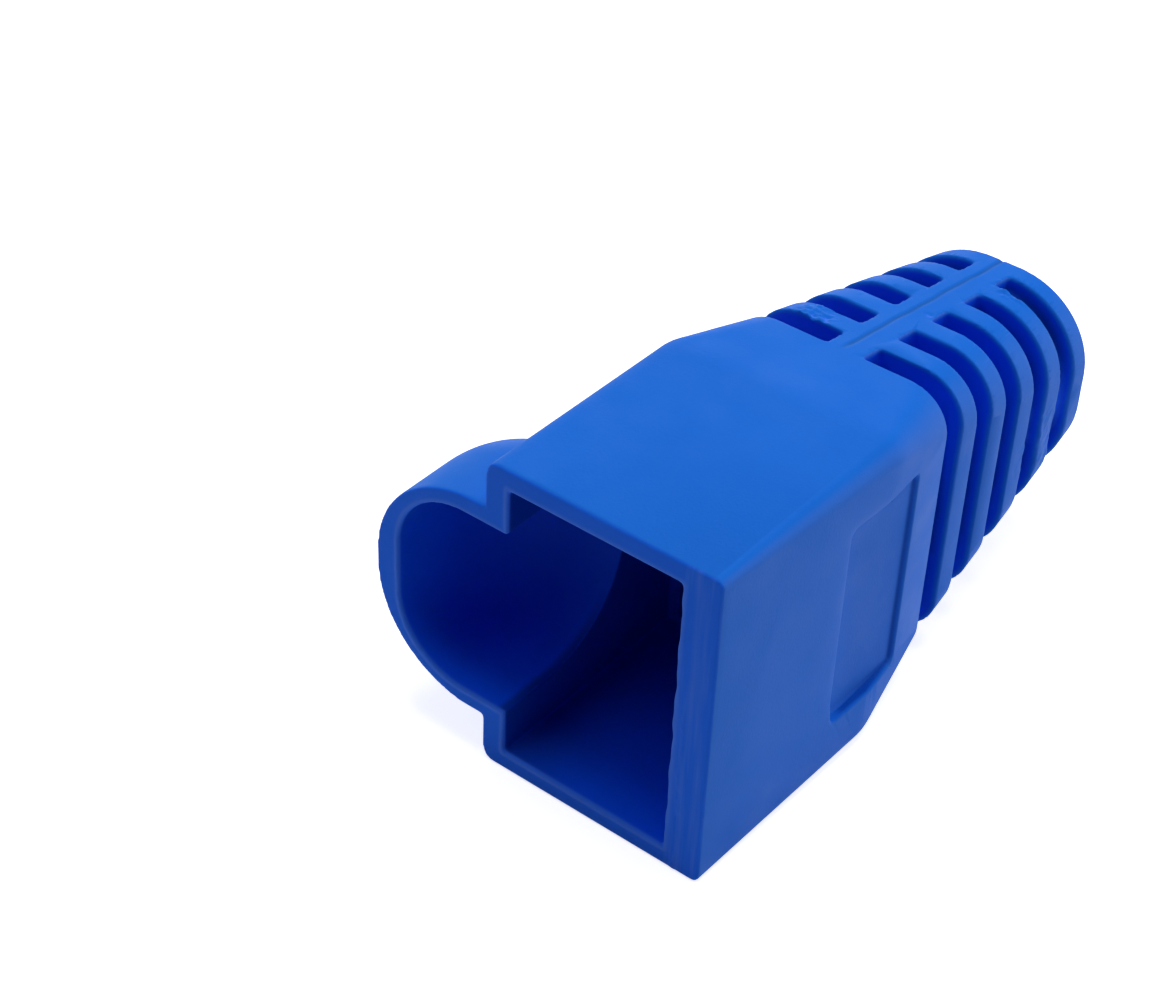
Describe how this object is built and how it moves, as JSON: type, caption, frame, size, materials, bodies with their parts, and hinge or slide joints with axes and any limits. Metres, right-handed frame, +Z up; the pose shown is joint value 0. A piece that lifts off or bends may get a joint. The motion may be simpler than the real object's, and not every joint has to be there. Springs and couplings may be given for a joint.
{
  "type": "rj45 strain relief boot",
  "caption": "Soft strain relief boot for a modular network plug, with an open box mouth, a domed latch hood, a tapered body and a ribbed tail with a round cable hole.",
  "frame": {"origin": "on the cable axis, in the plane of the plug mouth", "axes": "+X along the cable axis from the mouth to the tail end, +Y towards the latch hood, +Z up, across the boot's width; the boot lies on its lower narrow side"},
  "size_m": [0.0263, 0.0153, 0.0138],
  "materials": {
    "boot_plastic": "satin flexible PVC, moulded in one piece"
  },
  "bodies": {
    "root": {"boot": "boot_plastic"}
  },
  "joints": []
}
